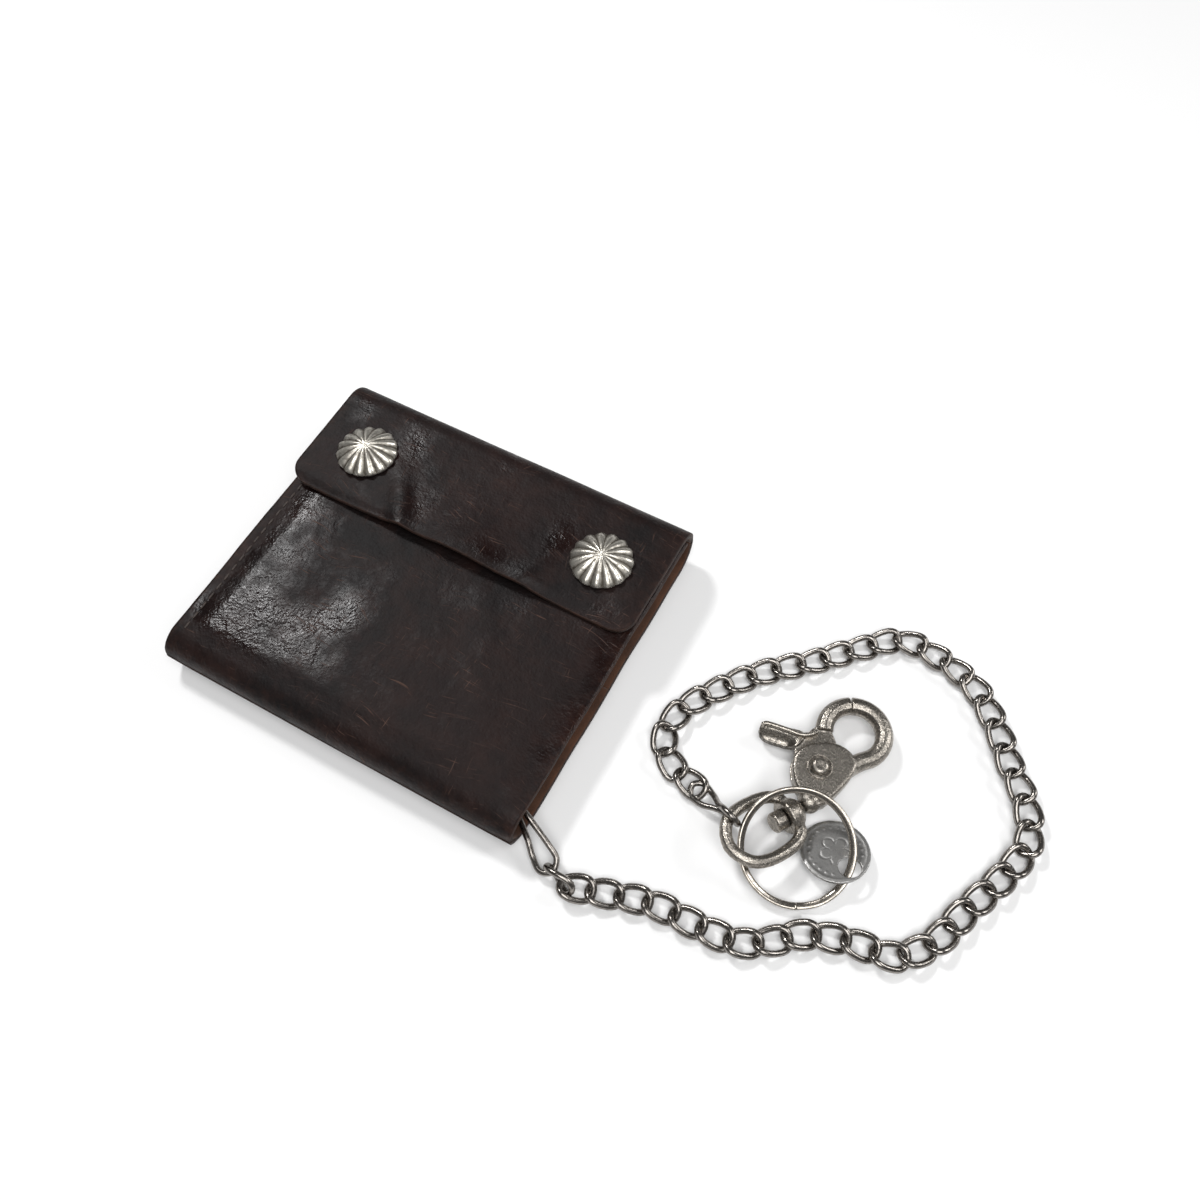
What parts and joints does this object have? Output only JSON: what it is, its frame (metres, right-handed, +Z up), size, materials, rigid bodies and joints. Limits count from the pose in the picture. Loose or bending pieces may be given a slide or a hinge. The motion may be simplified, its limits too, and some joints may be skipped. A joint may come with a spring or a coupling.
{
  "type": "chain wallet",
  "caption": "Folded leather biker wallet with snap-down flap and fluted conchos, curb chain, swivel trigger hook, split key ring and round tag",
  "frame": {"origin": "middle of the closed wallet's footprint, on the surface it lies on", "axes": "+X along the folds, towards the side where the chain leaves; +Y from the bottom fold to the top fold; +Z up, from the back cover to the flap"},
  "size_m": [0.2137, 0.1047, 0.0205],
  "materials": {
    "hide": "glossy, creased, worn at the edges",
    "lining": "matt flesh side",
    "concho_silver": "antique silver plate with dark recesses",
    "snap_nickel": "plain nickel plate",
    "chain_steel": "bright gunmetal plate",
    "clasp_nickel": "antique nickel, pitted casting"
  },
  "bodies": {
    "back_half": {"back_cover": "hide", "bill_lining_back": "lining", "back_card_pocket_1": "lining", "back_card_pocket_2": "lining", "chain_grommet": "snap_nickel", "grommet_washer": "snap_nickel"},
    "lower_fold": {"bottom_fold": "hide"},
    "front_half": {"front_cover": "hide", "bill_lining_front": "lining", "front_card_pocket_1": "lining", "front_card_pocket_2": "lining", "snap_stud_left": "snap_nickel", "snap_stud_right": "snap_nickel", "stud_back_left": "snap_nickel", "stud_back_right": "snap_nickel"},
    "upper_fold": {"top_fold": "hide"},
    "flap": {"flap": "hide", "concho_left": "concho_silver", "concho_right": "concho_silver", "snap_socket_left": "snap_nickel", "snap_socket_right": "snap_nickel"},
    "chain": {"wallet_connector": "chain_steel", "chain_links_01": "chain_steel", "chain_links_02": "chain_steel", "chain_links_03": "chain_steel", "chain_links_04": "chain_steel", "chain_links_05": "chain_steel", "chain_links_06": "chain_steel", "chain_links_07": "chain_steel", "chain_links_08": "chain_steel", "chain_links_09": "chain_steel", "clasp_connector": "chain_steel", "swivel_eye": "clasp_nickel"},
    "hook": {"swivel_stud": "clasp_nickel", "hook_body": "clasp_nickel", "lever_rivet": "clasp_nickel", "lever_spring": "chain_steel"},
    "lever": {"trigger_lever": "clasp_nickel"},
    "key_ring": {"key_ring": "clasp_nickel"},
    "tag": {"tag": "clasp_nickel"}
  },
  "joints": [
    {"name": "lower_fold_out", "type": "hinge", "parent": "back_half", "child": "lower_fold", "pos_m": [0, -0.04503, 0.00247], "axis": [1, 0, 0], "range_deg": [0, 90]},
    {"name": "front_half_out", "type": "hinge", "parent": "lower_fold", "child": "front_half", "pos_m": [0, -0.04503, 0.01053], "axis": [1, 0, 0], "range_deg": [0, 90]},
    {"name": "upper_fold_out", "type": "hinge", "parent": "back_half", "child": "upper_fold", "pos_m": [0, 0.04452, 0.00298], "axis": [-1, 0, 0], "range_deg": [0, 90]},
    {"name": "flap_out", "type": "hinge", "parent": "upper_fold", "child": "flap", "pos_m": [0, 0.04452, 0.01352], "axis": [-1, 0, 0], "range_deg": [0, 90]},
    {"name": "chain_swing", "type": "hinge", "parent": "back_half", "child": "chain", "pos_m": [0.046, -0.037, 0.004], "axis": [0, 0, 1], "range_deg": [-4, 15]},
    {"name": "hook_swivel", "type": "hinge", "parent": "chain", "child": "hook", "pos_m": [0.1057, -0.0089, 0.00435], "axis": [0.5111, 0.834, -0.2079], "range_deg": [-20, 20]},
    {"name": "trigger", "type": "hinge", "parent": "hook", "child": "lever", "pos_m": [0.10708, 0.0045, 0.0039], "axis": [0, 0, 1], "range_deg": [0, 22], "stiffness_Nm_per_rad": 0.02, "springref_deg": -17.19},
    {"name": "key_ring_swing", "type": "hinge", "parent": "chain", "child": "key_ring", "pos_m": [0.1009, -0.02477, 0.00776], "axis": [0.9816, 0.136, -0.1337], "range_deg": [0, 6]},
    {"name": "tag_swing", "type": "hinge", "parent": "key_ring", "child": "tag", "pos_m": [0.12289, -0.01356, 0.00363], "axis": [0.1253, -0.9433, -0.3074], "range_deg": [0, 15]}
  ],
  "couplings": [
    {"joint": "front_half_out", "follows": "lower_fold_out", "ratio": 1},
    {"joint": "flap_out", "follows": "upper_fold_out", "ratio": 1}
  ]
}
